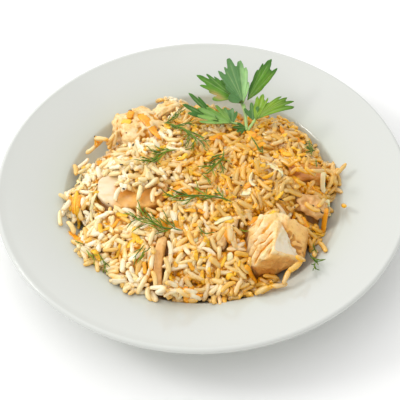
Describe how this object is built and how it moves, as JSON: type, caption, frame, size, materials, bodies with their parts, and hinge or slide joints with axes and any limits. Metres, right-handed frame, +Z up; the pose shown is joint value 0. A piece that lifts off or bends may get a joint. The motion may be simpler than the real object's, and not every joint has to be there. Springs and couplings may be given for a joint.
{
  "type": "plate of chicken pilaf",
  "caption": "Wide-rimmed round plate whose well holds a heap of cooked rice with shredded carrot, pieces of chicken, dill and a parsley sprig, served as a meal.",
  "frame": {"origin": "centre of the plate's foot ring, on the surface it stands on", "axes": "+Z up through the plate's axis; +X to the right and -Y to the front as the dish is served, with the parsley at the back"},
  "size_m": [0.24, 0.24, 0.055],
  "materials": {
    "porcelain": "glossy white glaze",
    "rice": "moist, lightly oiled cooked grains",
    "chicken": "moist cooked meat",
    "dill": "fresh matt threads",
    "parsley": "fresh satin leaf"
  },
  "bodies": {
    "root": {"plate": "porcelain", "rice": "rice", "chicken_chunk_right": "chicken", "chicken_slice_left": "chicken", "chicken_back_left": "chicken", "chicken_strip_back": "chicken", "chicken_wedge_right": "chicken", "chicken_right": "chicken", "chicken_middle": "chicken", "chicken_strand_front": "chicken", "chicken_flat_middle": "chicken", "dill_back": "dill", "dill_left": "dill", "dill_centre": "dill", "dill_middle": "dill", "dill_front": "dill", "parsley": "parsley"}
  },
  "joints": []
}
